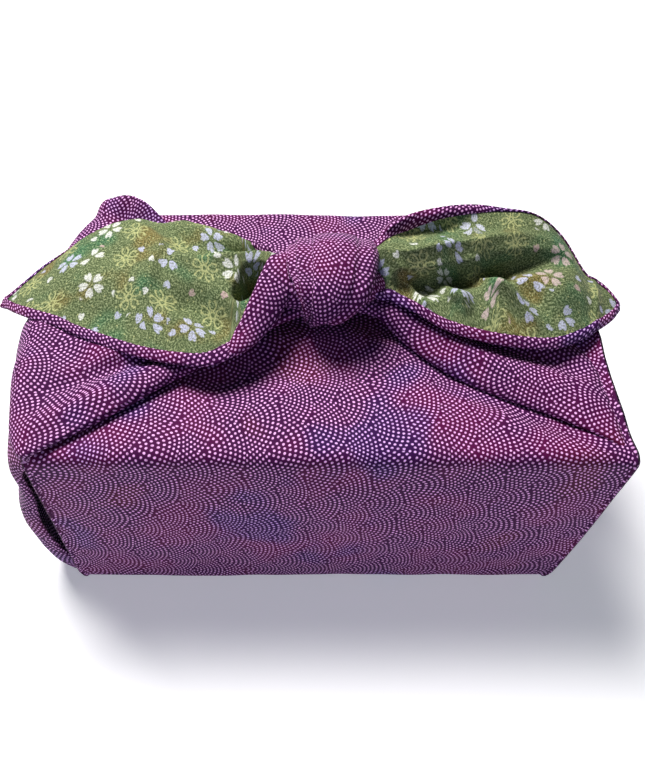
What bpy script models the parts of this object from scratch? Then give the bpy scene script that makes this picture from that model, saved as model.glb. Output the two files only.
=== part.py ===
"""A furoshiki tied round a box: one lined wrapping cloth, standing on its flat base.

The outer cloth is one solid. A belt of cloth runs round the box from flap to flap, two arms cover the
sides and the top and run into the knot, and the two free corners spread out of the knot as wings. The
green lining shows only on the wings, so it is built there. The box inside is hidden and isn't built.
+X is to the right of someone who stands in front, +Y is to the back and +Z is up. The origin is on the
base, in the middle of the wrap's depth. Tables are in millimetres.
"""

import math
from typing import NamedTuple

import bmesh
import bpy
from mathutils import Vector

MM = 0.001

HEIGHT = 102.5
HALF_DEPTH = 70.0
BASE_LEFT = -113.0
BASE_RIGHT = 102.0
LEAN = 6.8
EDGE_RADIUS = 5.0
FLAP_END = 14.0
UNDER_FLAP_END = -10.0
FLAP_LIFT = 3.0
CORNER_EAR = 3.5

WALL = 2.0
WING_WALL = 1.5
LINING_WALL = 0.9
LAYER_GAP = 0.3
HEM = 3.5

BELT_STEPS = 12
ARM_STEPS = 20
ARM_ACROSS = 16
WING_STEPS = 15
WING_ACROSS = 12
TUBE_SIDES = 16
TUBE_PLEAT = 0.05
TUBE_STEPS = 12

PLUM = (0.16, 0.04, 0.17, 1.0)
GREEN = (0.27, 0.33, 0.16, 1.0)
CLOTH_ROUGHNESS = 0.85


class ArmRow(NamedTuple):
    """One section of an arm, from the base up the side and over the top to the knot."""

    front_x: float
    front_y: float
    front_z: float
    back_x: float
    back_y: float
    back_z: float
    outward: float
    front_puff: float
    back_puff: float


class WingRow(NamedTuple):
    """One section of a wing: its front and back borders, and the crown between them."""

    x: float
    front_y: float
    front_z: float
    back_y: float
    back_z: float
    crown: float
    crown_at: float
    front_hem: float


class Fold(NamedTuple):
    """A soft ridge, or a trough where its rise is negative. It runs along a wing or an arm."""

    across: float
    rise: float
    width: float
    start: float
    end: float


class TubeRow(NamedTuple):
    """One ring of a rolled band of the knot."""

    x: float
    y: float
    z: float
    half_width: float
    half_thick: float


LEFT_ARM = (
    ArmRow(-111.5, -68, 1, -111.5, 68, 1, 0, 2, 2),
    ArmRow(-110.5, -68.5, 22, -110.5, 68.5, 22, 0, 20, 17),
    ArmRow(-109, -68.5, 50, -109, 68.5, 50, 0, 25, 21),
    ArmRow(-107.5, -68.5, 80, -107, 68.5, 80, 4, 21, 17),
    ArmRow(-106.5, -68.8, 96, -105, 69.5, 97, 15, 14, 12),
    ArmRow(-104, -69.5, 103, -99, 70, 104, 55, 3, 4),
    ArmRow(-84, -56, 103.4, -82, 62, 104, 85, 4, 4),
    ArmRow(-63, -40, 104.2, -62, 45, 104, 90, 4.5, 5),
    ArmRow(-48, -30, 105, -46, 32, 105.5, 90, 4, 5),
    ArmRow(-34, -22, 107.5, -32, 22, 108, 90, 3.5, 4),
    ArmRow(-20, -13, 111, -20, 14, 112, 90, 3, 3.5),
    ArmRow(-8, -9, 115, -8, 10, 115.5, 90, 3, 3),
)
RIGHT_ARM = (
    ArmRow(100.5, -68, 1, 100.5, 68, 1, 0, 1, 1),
    ArmRow(101.5, -68.5, 22, 101.5, 68.5, 22, 0, 7, 8),
    ArmRow(103, -68.5, 50, 103, 68.5, 50, 0, 9, 10),
    ArmRow(105, -68.5, 80, 105, 68.5, 80, 4, 7, 8),
    ArmRow(107, -67.5, 95, 106.5, 69, 96, 15, 4, 6),
    ArmRow(105.5, -62, 103, 103, 70, 103.4, 60, 3, 4),
    ArmRow(87, -48.5, 103.4, 86, 58, 103.6, 85, 4, 4.5),
    ArmRow(66, -38, 104, 65, 43, 104, 90, 4.5, 5),
    ArmRow(48, -27.5, 105.5, 48, 31, 105.5, 90, 4.5, 5),
    ArmRow(32, -14, 108.5, 33, 21, 109, 90, 4.5, 5),
    ArmRow(20, -8, 111.5, 20, 14, 113, 90, 4, 4),
    ArmRow(8, -8, 114.5, 8, 10, 115.5, 90, 3, 3),
)
LEFT_PLEATS = (
    Fold(0.95, 8.0, 0.30, 4.0, 6.6),
    Fold(-0.78, 1.6, 0.16, 5.0, 9.8),
    Fold(-0.52, -1.8, 0.14, 4.0, 9.8),
    Fold(-0.28, 1.6, 0.16, 4.0, 9.4),
    Fold(0.35, -1.6, 0.16, 3.0, 9.4),
    Fold(0.10, 1.5, 0.30, 1.0, 4.0),
    Fold(-0.55, -1.5, 0.20, 1.0, 4.5),
)
RIGHT_PLEATS = (
    Fold(-0.80, 1.2, 0.16, 5.0, 9.8),
    Fold(-0.55, -1.8, 0.14, 4.5, 9.8),
    Fold(-0.25, 1.4, 0.18, 4.0, 9.4),
    Fold(0.45, -1.6, 0.16, 3.0, 9.4),
    Fold(0.75, 1.5, 0.18, 3.0, 8.8),
    Fold(0.00, -1.2, 0.25, 1.0, 4.0),
)
LEFT_WING = (
    WingRow(-16, -9, 124.5, 10, 127, 2, 0.5, 12),
    WingRow(-21, -14, 123.5, 14, 127.5, 3, 0.6, 12),
    WingRow(-26, -21, 121, 18, 126, 5, 0.7, 11),
    WingRow(-34, -32, 117, 27, 121, 9, 0.76, 8.5),
    WingRow(-43, -36, 115, 36, 117, 12, 0.78, 5.5),
    WingRow(-55, -33.5, 113.5, 44, 113, 14, 0.8, HEM),
    WingRow(-73, -28, 112, 49, 110, 15, 0.82, HEM),
    WingRow(-91, -20, 111.5, 49, 109, 12, 0.83, HEM),
    WingRow(-106, -12, 111, 43, 108.5, 7, 0.8, HEM),
    WingRow(-121, -5, 109.5, 29, 107.5, 2, 0.7, HEM),
    WingRow(-130, 2.5, 107, 19, 105.5, 0.5, 0.6, HEM),
    WingRow(-136, 9, 104.5, 11.5, 104, 0, 0.5, HEM),
)
LEFT_FOLDS = (
    Fold(-0.38, -10.0, 0.32, 1.2, 5.0),
    Fold(0.12, 2.5, 0.14, 1.0, 5.5),
    Fold(0.38, -3.5, 0.13, 1.2, 5.5),
    Fold(0.10, -3.0, 0.26, 4.5, 8.0),
    Fold(0.60, -2.5, 0.14, 4.0, 7.5),
)
RIGHT_WING = (
    WingRow(16, -4, 120, 11, 130, 2, 0.5, HEM),
    WingRow(21, -4.5, 119.5, 14, 132.5, 2, 0.5, HEM),
    WingRow(26, -5, 118.5, 18, 135, 1, 0.5, HEM),
    WingRow(34, -9, 117, 22, 137, 0, 0.5, HEM),
    WingRow(46, -17, 115, 26, 138, 0, 0.5, HEM),
    WingRow(59, -21.5, 113.5, 30, 136.5, 1, 0.5, HEM),
    WingRow(73, -24, 112.5, 32, 133.5, 2, 0.5, HEM),
    WingRow(88, -24, 111.5, 34, 129, 3, 0.5, HEM),
    WingRow(100, -18.5, 110.5, 31, 121, 4, 0.5, HEM),
    WingRow(109, -12, 109.5, 23, 114, 3, 0.5, HEM),
    WingRow(117, -4.5, 108.5, 13, 109.5, 1, 0.5, HEM),
    WingRow(121, 1, 107.8, 4, 108, 0, 0.5, HEM),
)
RIGHT_FOLDS = (
    Fold(0.72, -4.0, 0.16, 2.0, 8.0),
    Fold(0.36, 4.5, 0.18, 1.5, 8.5),
    Fold(-0.05, -8.0, 0.24, 2.0, 9.0),
    Fold(-0.42, 2.5, 0.14, 1.5, 5.5),
    Fold(-0.62, -2.5, 0.12, 1.5, 5.0),
)
KNOT_BAND = (
    TubeRow(2, 15, 111, 12, 4),
    TubeRow(3, 20, 121, 16, 5.5),
    TubeRow(3, 15.5, 131.5, 18, 6.5),
    TubeRow(2.5, 3, 134.5, 18, 7),
    TubeRow(1.5, -9, 130, 15.5, 6.5),
    TubeRow(-1, -15.5, 121, 10.5, 6),
    TubeRow(-4, -17, 113, 5, 4.5),
    TubeRow(-5, -16, 109, 2.5, 3),
)
KNOT_CORE = (
    TubeRow(-22, 0, 121, 5, 4),
    TubeRow(-15, 0, 121, 9, 8),
    TubeRow(0, 1, 121, 13, 11),
    TubeRow(15, 2, 121, 9, 8),
    TubeRow(22, 3, 121, 5, 4),
)
TURNED_BAND = (
    TubeRow(-8, 5, 131, 5.5, 3.0),
    TubeRow(-16, -6, 128.5, 5.5, 3.0),
    TubeRow(-23, -18, 124, 5.0, 2.8),
    TubeRow(-29, -27, 119, 4.5, 2.4),
    TubeRow(-34, -33, 114.5, 3.0, 1.8),
)


def clear_scene():
    """Empty the scene, so that the part starts from nothing."""
    for obj in list(bpy.data.objects):
        bpy.data.objects.remove(obj)


def cloth_material(name, colour):
    """Matt woven cloth in one plain colour."""
    material = bpy.data.materials.new(name)
    material.use_nodes = True
    shader = material.node_tree.nodes["Principled BSDF"]
    shader.inputs["Base Color"].default_value = colour
    shader.inputs["Roughness"].default_value = CLOTH_ROUGHNESS
    shader.inputs["Metallic"].default_value = 0.0
    return material


def between(rows, place):
    """The table's values at a fractional row number, on a smooth curve through its rows."""
    last = len(rows) - 1
    i = min(int(place), last - 1)
    t = place - i
    before, first, second, after = (rows[min(max(k, 0), last)] for k in (i - 1, i, i + 1, i + 2))
    values = [
        0.5 * (2 * b + (c - a) * t + (2 * a - 5 * b + 4 * c - d) * t ** 2 + (3 * b - a - 3 * c + d) * t ** 3)
        for a, b, c, d in zip(before, first, second, after)
    ]
    return type(rows[0])(*values)


def bump(distance, width):
    """A soft hill, 1 at its middle and 0 at its width."""
    share = min(abs(distance) / width, 1.0)
    return (1 - share ** 2) ** 2


def fold_rise(folds, across, place):
    """How far the folds lift the cloth at a place along it and a place across it."""
    total = 0.0
    for fold in folds:
        middle = (fold.start + fold.end) / 2
        along = bump(place - middle, (fold.end - fold.start) / 2 + 0.5)
        total += fold.rise * bump(across - fold.across, fold.width * 1.6) * along
    return total


def crowded(share):
    """A place from -1 to 1 that is moved a little towards its nearer edge, where the cloth turns most."""
    return 0.45 * share + 0.55 * math.sin(math.pi / 2 * share)


def arm_point(rows, folds, place, across, side):
    """A point of an arm. across runs from -1 at its front edge to 1 at its back edge."""
    row = between(rows, place)
    share = (across + 1) / 2
    front = Vector((row.front_x, row.front_y, row.front_z))
    back = Vector((row.back_x, row.back_y, row.back_z))
    angle = math.radians(row.outward)
    out = Vector((side * math.cos(angle), 0, math.sin(angle)))
    puff = row.front_puff + (row.back_puff - row.front_puff) * share
    rise = puff * (1 - abs(across) ** 3) ** (1 / 3) + fold_rise(folds, across, place)
    return front.lerp(back, share) + out * rise


def wing_point(rows, folds, place, across):
    """A point of a wing's upper face. across runs from -1 at the front border to 1 at the back one."""
    row = between(rows, place)
    share = (across + 1) / 2
    front = Vector((row.x, row.front_y, row.front_z))
    back = Vector((row.x, row.back_y, row.back_z))
    chord = back - front
    normal = Vector((0, -chord.z, chord.y)).normalized()
    if share < row.crown_at:
        arch = math.sin(math.pi / 2 * share / row.crown_at)
    else:
        arch = math.cos(math.pi / 2 * (share - row.crown_at) / (1 - row.crown_at))
    return front + chord * share + normal * (row.crown * arch + fold_rise(folds, across, place))


def belt_profile():
    """The belt's outer line in the YZ plane, from the upper flap's end round to the under flap's."""
    top = HEIGHT
    points = [(FLAP_END, top + FLAP_LIFT), (0.0, top + FLAP_LIFT), (UNDER_FLAP_END - 4, top + FLAP_LIFT)]
    points += [(-26.0, top + 0.8), (-42.0, top), (-56.0, top)]
    corners = ((-1, 1, 90), (-1, -1, 180), (1, -1, 270), (1, 1, 0))
    for side_y, side_z, start in corners:
        centre_y = side_y * (HALF_DEPTH - EDGE_RADIUS)
        centre_z = top / 2 + side_z * (top / 2 - EDGE_RADIUS)
        for step in range(4):
            angle = math.radians(start + 30 * step)
            points.append((centre_y + EDGE_RADIUS * math.cos(angle), centre_z + EDGE_RADIUS * math.sin(angle)))
        if (side_y, side_z) == (-1, 1):
            points += [(-HALF_DEPTH, top * share) for share in (0.8, 0.6, 0.4, 0.2)]
        elif (side_y, side_z) == (-1, -1):
            points += [(y, 0.0) for y in (-40.0, 0.0, 40.0)]
        elif (side_y, side_z) == (1, -1):
            points += [(HALF_DEPTH, top * 0.33), (HALF_DEPTH, top * 0.66)]
    points += [(50.0, top), (30.0, top), (14.0, top - 0.2), (UNDER_FLAP_END, top - 0.2)]
    return points


def belt_row(y, z):
    """The belt's points across the wrap at one line of its profile."""
    left = BASE_LEFT + LEAN * z / HEIGHT
    right = BASE_RIGHT + LEAN * z / HEIGHT
    right += CORNER_EAR * bump(z - HEIGHT + 3, 45) * bump(y + HALF_DEPTH, 16)
    return [Vector((left + (right - left) * i / BELT_STEPS, y, z)) for i in range(BELT_STEPS + 1)]


def sheet(name, rows, wall, sink=0.0):
    """A cloth sheet through rows of points, with its wall below the points and sunk a little if asked."""
    across = len(rows[0])
    mesh = bpy.data.meshes.new(name)
    shape = bmesh.new()
    bmesh.ops.create_grid(shape, x_segments=across - 1, y_segments=len(rows) - 1, size=0.5)
    shape.verts.ensure_lookup_table()
    for index, vertex in enumerate(shape.verts):
        vertex.co = rows[index // across][index % across] * MM
    shape.to_mesh(mesh)
    shape.free()
    obj = bpy.data.objects.new(name, mesh)
    bpy.context.scene.collection.objects.link(obj)
    if sink:
        lower = obj.modifiers.new("sink", "DISPLACE")
        lower.strength = -sink * MM
        lower.mid_level = 0.0
    solid = obj.modifiers.new("wall", "SOLIDIFY")
    solid.thickness = wall * MM
    solid.offset = -1.0
    solid.use_even_offset = False
    solid.use_quality_normals = True
    return obj


def tube(name, rows, side):
    """A rolled band: rings along a smooth path, closed at both ends. side is the way its width runs."""
    shape = bmesh.new()
    rings = []
    last = len(rows) - 1
    for step in range(TUBE_STEPS + 1):
        place = last * step / TUBE_STEPS
        row = between(rows, place)
        ahead = between(rows, min(place + 0.05, last))
        behind = between(rows, max(place - 0.05, 0))
        along = Vector((ahead.x - behind.x, ahead.y - behind.y, ahead.z - behind.z)).normalized()
        thick = along.cross(side).normalized()
        wide = thick.cross(along)
        ring = []
        for corner in range(TUBE_SIDES):
            angle = math.tau * corner / TUBE_SIDES
            size = 1 + TUBE_PLEAT * math.cos(4 * angle)
            out = wide * (row.half_width * math.cos(angle)) + thick * (row.half_thick * math.sin(angle))
            out *= size
            ring.append(shape.verts.new((Vector((row.x, row.y, row.z)) + out) * MM))
        rings.append(ring)
    for ring, following in zip(rings, rings[1:]):
        for corner in range(TUBE_SIDES):
            after = (corner + 1) % TUBE_SIDES
            shape.faces.new((ring[corner], ring[after], following[after], following[corner]))
    shape.faces.new(rings[0][::-1])
    shape.faces.new(rings[-1])
    bmesh.ops.recalc_face_normals(shape, faces=shape.faces)
    mesh = bpy.data.meshes.new(name)
    shape.to_mesh(mesh)
    shape.free()
    obj = bpy.data.objects.new(name, mesh)
    bpy.context.scene.collection.objects.link(obj)
    return obj


def arm(name, rows, folds, side):
    """One arm of the wrap, as a sheet from the base to the knot."""
    last = len(rows) - 1
    lines = []
    for step in range(ARM_STEPS + 1):
        place = last * step / ARM_STEPS
        line = [
            arm_point(rows, folds, place, crowded(-1 + 2 * i / ARM_ACROSS), side)
            for i in range(ARM_ACROSS + 1)
        ]
        lines.append(line if side > 0 else line[::-1])
    return sheet(name, lines, WALL)


def wing_lines(rows, folds, side):
    """A wing's points, with its second and last but one lines a hem's width inside its borders."""
    last = len(rows) - 1
    lines = []
    for step in range(WING_STEPS + 1):
        place = last * step / WING_STEPS
        row = between(rows, place)
        width = math.hypot(row.back_y - row.front_y, row.back_z - row.front_z)
        first = -1 + min(2 * row.front_hem / width, 0.7)
        final = 1 - min(2 * HEM / width, 0.6)
        inner = [first + (final - first) * i / WING_ACROSS for i in range(WING_ACROSS + 1)]
        shares = [-1.0] + inner + [1.0]
        line = [wing_point(rows, folds, place, across) for across in shares]
        lines.append(line[::-1] if side > 0 else line)
    return lines


def fuse(obj, helpers):
    """Join the helper solids into one with the object."""
    for helper in helpers:
        helper.hide_render = True
        helper.display_type = "WIRE"
        union = obj.modifiers.new(helper.name, "BOOLEAN")
        union.operation = "UNION"
        union.solver = "EXACT"
        union.object = helper


def build():
    """Make the wrap's three solids."""
    clear_scene()
    belt_lines = [belt_row(y, z) for y, z in reversed(belt_profile())]
    outer = sheet("outer_cloth", belt_lines, WALL)
    left_lines = wing_lines(LEFT_WING, LEFT_FOLDS, -1)
    right_lines = wing_lines(RIGHT_WING, RIGHT_FOLDS, 1)
    sink = LINING_WALL + LAYER_GAP
    fuse(outer, [
        arm("arm_left", LEFT_ARM, LEFT_PLEATS, -1),
        arm("arm_right", RIGHT_ARM, RIGHT_PLEATS, 1),
        tube("knot_core", KNOT_CORE, Vector((0, 1, 0))),
        tube("knot_band", KNOT_BAND, Vector((1, 0, 0))),
        tube("turned_band", TURNED_BAND, Vector((1, 0.4, 0))),
        sheet("wing_left", left_lines, WING_WALL, sink),
        sheet("wing_right", right_lines, WING_WALL, sink),
    ])
    outer.data.materials.append(cloth_material("plum_cloth", PLUM))
    green = cloth_material("green_lining", GREEN)
    for name, lines in (("lining_left", left_lines), ("lining_right", right_lines)):
        inner = [line[1:-1] for line in lines[3:-1]]
        lining = sheet(name, inner, LINING_WALL)
        lining.data.materials.append(green)


build()
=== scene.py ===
"""The looks of a furoshiki tied round a box: plum crepe with a fine dot print, lined in green blossom crepe.

Tables and sizes are in millimetres, and become metres where a mesh is made. +X is to the right of someone
in front, +Y is to the back and +Z is up. A cloth piece starts as a flat grid that is laid over a surface, and
its UV map holds metres of cloth, so that the prints keep their real scale in every fold.
"""

import logging
from collections.abc import Callable, Sequence
from dataclasses import dataclass, field
from enum import Enum
from itertools import accumulate
from math import atan2, copysign, cos, degrees, hypot, pi, radians, sin, tau
from typing import NamedTuple, TypeAlias

import bmesh
import bpy
from bpy.types import Material, Object
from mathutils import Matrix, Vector, noise


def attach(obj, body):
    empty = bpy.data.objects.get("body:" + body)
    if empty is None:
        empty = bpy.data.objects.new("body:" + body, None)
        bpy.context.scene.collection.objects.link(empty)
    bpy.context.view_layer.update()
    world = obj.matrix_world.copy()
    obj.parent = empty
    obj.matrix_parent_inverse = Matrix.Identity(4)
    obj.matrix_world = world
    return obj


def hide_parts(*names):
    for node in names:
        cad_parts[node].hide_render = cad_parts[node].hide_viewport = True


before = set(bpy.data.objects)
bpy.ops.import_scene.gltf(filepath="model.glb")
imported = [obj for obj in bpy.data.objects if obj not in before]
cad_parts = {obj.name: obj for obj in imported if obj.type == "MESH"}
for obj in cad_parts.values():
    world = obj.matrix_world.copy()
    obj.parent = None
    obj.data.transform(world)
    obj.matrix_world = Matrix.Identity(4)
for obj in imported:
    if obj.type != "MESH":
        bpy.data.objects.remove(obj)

LOG = logging.getLogger("furoshiki")
MM = 0.001
BODY = "root"
UV_NAME = "cloth"
OUTER = "outer_cloth"
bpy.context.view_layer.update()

Pair: TypeAlias = tuple[float, float]
Triple: TypeAlias = tuple[float, float, float]
Colour: TypeAlias = tuple[float, float, float, float]
Line: TypeAlias = list[Vector]
Value: TypeAlias = "Sock | float"


class ArmRow(NamedTuple):
    """One section of an arm: its two edges, which way it puffs, how far at each edge and how square it is."""

    front_x: float
    front_y: float
    front_z: float
    back_x: float
    back_y: float
    back_z: float
    outward: float
    front_puff: float
    back_puff: float
    square: float = 5.4


class WingRow(NamedTuple):
    """One section of a wing: its two borders, its crown, where the crown stands and its two hems."""

    x: float
    front_y: float
    front_z: float
    back_y: float
    back_z: float
    crown: float
    crown_at: float
    front_hem: float = 3.4
    back_hem: float = 3.4


class Edge(Enum):
    """How a fold's section looks, as the inner and the outer power of its curve."""

    SOFT = (2, 2)
    CRISP = (1, 1.7)
    STEEP = (4, 2)


class Bend(NamedTuple):
    """One place on a fold's line, and the share of the fold's rise there."""

    x: float
    y: float
    share: float


class Fold(NamedTuple):
    """A ridge along a line seen from above, or a trough where its rise is negative.

    It reaches out differently to the left and to the right of its line.
    """

    rise: float
    left_reach: float
    right_reach: float
    edge: Edge
    line: tuple[Bend, ...]

    def height(self, distance: float, reach: float) -> float:
        """The share of the fold's rise at a distance from its line, which is 0 from its reach on."""
        inner, outer = self.edge.value
        return (1 - min(distance / reach, 1.0) ** inner) ** outer


def crease(rise: float, left_reach: float, right_reach: float, edge: Edge, *bends: Triple) -> Fold:
    """Makes a fold from plain numbers, three for each bend of its line."""
    return Fold(rise, left_reach, right_reach, edge, tuple(Bend(*bend) for bend in bends))


class Ripple(NamedTuple):
    """Uneven cloth: the size of one unevenness, its greatest height and the pattern that it follows."""

    size: float
    height: float
    seed: float


class BandRow(NamedTuple):
    """One ring of a rolled band: its centre, half its width and half its thickness."""

    x: float
    y: float
    z: float
    half_width: float
    half_thick: float


class Pleat(NamedTuple):
    """A soft pleat along a band: its place round the band and its reach, in degrees, and its rise."""

    at: float
    reach: float
    rise: float


class Side(Enum):
    """Which way a piece points from the knot."""

    LEFT = -1
    RIGHT = 1


class Print(Enum):
    """Which way the print runs on a sheet."""

    ACROSS = "its fans open along the rows"
    ALONG = "its fans open along the columns"


def between(rows: Sequence[NamedTuple], place: float) -> NamedTuple:
    """Reads a table between its rows.

    Args:
        rows: The table, all rows of one kind.
        place: A fractional row number.

    Returns:
        A row on the smooth curve through the table's rows.
    """
    last = len(rows) - 1
    i = min(max(int(place), 0), last - 1)
    t = place - i
    near = (rows[min(max(k, 0), last)] for k in (i - 1, i, i + 1, i + 2))
    values = [
        0.5 * (2 * b + (c - a) * t + (2 * a - 5 * b + 4 * c - d) * t * t + (3 * b - a - 3 * c + d) * t**3)
        for a, b, c, d in zip(*near)
    ]
    return type(rows[0])(*values)


def hill(distance: float, reach: float) -> float:
    """A soft hill's height: 1 at its middle and 0 from its reach on."""
    share = min(abs(distance) / reach, 1.0)
    return (1 - share * share) ** 2


def fold_rise(folds: Sequence[Fold], x: float, y: float) -> float:
    """Adds up the folds at a place.

    Args:
        folds: The ridges and troughs.
        x: The place along X.
        y: The place along Y.

    Returns:
        How far the folds lift the cloth there, in millimetres.
    """
    total = 0.0
    for fold in folds:
        best = 0.0
        for start, end in zip(fold.line, fold.line[1:]):
            run_x = end.x - start.x
            run_y = end.y - start.y
            long = hypot(run_x, run_y)
            share = ((x - start.x) * run_x + (y - start.y) * run_y) / long**2
            share = min(max(share, 0.0), 1.0)
            away_x = x - start.x - run_x * share
            away_y = y - start.y - run_y * share
            gap = hypot(away_x, away_y)
            lean = (run_x * away_y - run_y * away_x) / long / max(gap, 1e-6)
            reach = fold.right_reach + (fold.left_reach - fold.right_reach) * (1 + lean) / 2
            best = max(best, (start.share + (end.share - start.share) * share) * fold.height(gap, reach))
        total += fold.rise * best
    return total


def uneven(ripples: Sequence[Ripple], place: Vector) -> float:
    """How far ripples lift the cloth at a place, in millimetres."""
    shift = Vector((1, 1.7, 2.3))
    return sum(each.height * noise.noise(place / each.size + shift * each.seed) for each in ripples)


def spaced(count: int, crowding: float = 0.0) -> list[float]:
    """Places from -1 to 1 in even steps, or with crowding up to 1 in steps that are shorter at both ends."""
    places = [-1 + 2 * i / count for i in range(count + 1)]
    return [(1 - crowding) * place + crowding * sin(pi / 2 * place) for place in places]


def even_places(count: int, half_width: float, puff: float, square: float) -> list[float]:
    """Places from -1 to 1 that lie evenly on a puffed section's curve.

    Args:
        count: How many steps there are.
        half_width: Half the section's width.
        puff: How high the section's middle stands.
        square: The curve's power, which is greater for squarer shoulders.

    Returns:
        One more place than there are steps.
    """
    fine = [sin(pi / 2 * (-1 + 2 * i / 4000)) for i in range(4001)]
    lengths = [0.0]
    for left, right in zip(fine, fine[1:]):
        high = (1 - abs(right) ** square) ** (1 / square) - (1 - abs(left) ** square) ** (1 / square)
        lengths.append(lengths[-1] + hypot((right - left) * half_width, high * puff))
    places = []
    index = 0
    for step in range(count + 1):
        wanted = lengths[-1] * step / count
        while index < 4000 and lengths[index] < wanted - 1e-9:
            index += 1
        places.append(fine[index])
    return places


def measured(line: Line) -> list[float]:
    """How far each place of a line lies along it."""
    return [0.0, *accumulate((after - before).length for before, after in zip(line, line[1:]))]


def lay_sheet(
    name: str,
    points: list[Line],
    print_way: Print,
    start: Pair,
    anchors: Sequence[int] = (),
) -> Object:
    """Makes one sheet of cloth.

    Args:
        name: The piece's name.
        points: Rows of places in millimetres, with the outer side up where rows run along +X and follow +Y.
        print_way: Which way the print runs.
        start: Where the sheet's middle lies on the print, in millimetres.
        anchors: The columns from which the cloth is measured; each face uses the nearest.

    Returns:
        The sheet, with one UV map in metres of cloth.
    """
    rows = len(points)
    columns = len(points[0])
    anchors = anchors or (columns // 2,)
    across = [measured(row) for row in points]
    middle = [across[rows // 2][anchor] - across[rows // 2][columns // 2] for anchor in anchors]
    along = [measured([row[anchor] for row in points]) for anchor in anchors]
    shape = bmesh.new()
    bmesh.ops.create_grid(shape, x_segments=columns - 1, y_segments=rows - 1, size=0.5)
    shape.verts.ensure_lookup_table()
    layer = shape.loops.layers.uv.new(UV_NAME)
    for index, vertex in enumerate(shape.verts):
        vertex.co = points[index // columns][index % columns] * MM
    for face in shape.faces:
        face.smooth = True
        first = min(loop.vert.index % columns for loop in face.loops)
        chosen = min(range(len(anchors)), key=lambda number: abs(anchors[number] - first - 0.5))
        for loop in face.loops:
            row, column = divmod(loop.vert.index, columns)
            place = (across[row][column] - across[row][anchors[chosen]] + middle[chosen], along[chosen][row])
            if print_way is Print.ALONG:
                place = (place[1], place[0])
            loop[layer].uv = ((place[0] + start[0]) * MM, (place[1] + start[1]) * MM)
    mesh = bpy.data.meshes.new(name)
    shape.to_mesh(mesh)
    shape.free()
    piece = bpy.data.objects.new(name, mesh)
    bpy.context.scene.collection.objects.link(piece)
    return piece


def finish_cloth(
    piece: Object, material: Material, wall: float = 0.0, node: str = OUTER
) -> Object:
    """Gives a sheet its thickness and looks, ties it to the body and lets it stand for its solid.

    Args:
        piece: The sheet, as its outer side.
        material: Its finish.
        wall: Its thickness in millimetres, inwards, or 0 where it is closed on itself.
        node: The solid that it stands for.

    Returns:
        The finished piece.
    """
    if wall:
        solid = piece.modifiers.new("cloth", "SOLIDIFY")
        solid.thickness = wall * MM
        solid.offset = -1.0
        solid.use_even_offset = False
    piece.data.materials.append(material)
    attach(piece, BODY)
    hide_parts(node)
    return piece


@dataclass(frozen=True)
class Box:
    """The size of the wrapped body, which leans a little to the right as it rises."""

    height: float = 102.5
    half_depth: float = 70.0
    base_left: float = -113.0
    base_right: float = 103.2
    left_lean: float = 6.8
    right_lean: float = 5.8
    foot_round: float = 2.0
    foot_reach: float = 8.0
    edge_radius: float = 5.0
    back_rise: float = 2.6
    back_fall: float = 6.0
    fall_start: float = 55.0
    fall_run: float = 52.0

    def left(self, z: float) -> float:
        """The left edge at a height."""
        return self.base_left + self.left_lean * z / self.height + self.foot_round * hill(z, self.foot_reach)

    def right(self, z: float) -> float:
        """The right edge at a height."""
        bow = 1 - (1 - z / self.height) ** 2
        return self.base_right + self.right_lean * bow - self.foot_round * hill(z, self.foot_reach)

    def rise(self, x: float, y: float, z: float) -> float:
        """How far the cloth stands above the plain box: more at the back, and less at the right end."""
        fall = self.back_fall * min(max((x - self.fall_start) / self.fall_run, 0.0), 1.0)
        return (self.back_rise - fall) * max(y, 0.0) / self.half_depth * z / self.height


BELT_FOLDS = (
    crease(-4.3, 12, 14, Edge.SOFT, (14, 2, 0.5), (38, -18, 1), (54, -33, 1), (90, -51, 1), (106, -61, 0.3)),
    crease(-1.6, 14, 14, Edge.SOFT, (-40, -32, 1), (0, -24, 1), (40, -34, 0.6)),
    crease(0.9, 12, 12, Edge.SOFT, (-70, -58, 0.5), (-20, -52, 1), (40, -58, 0.8)),
)


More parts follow.
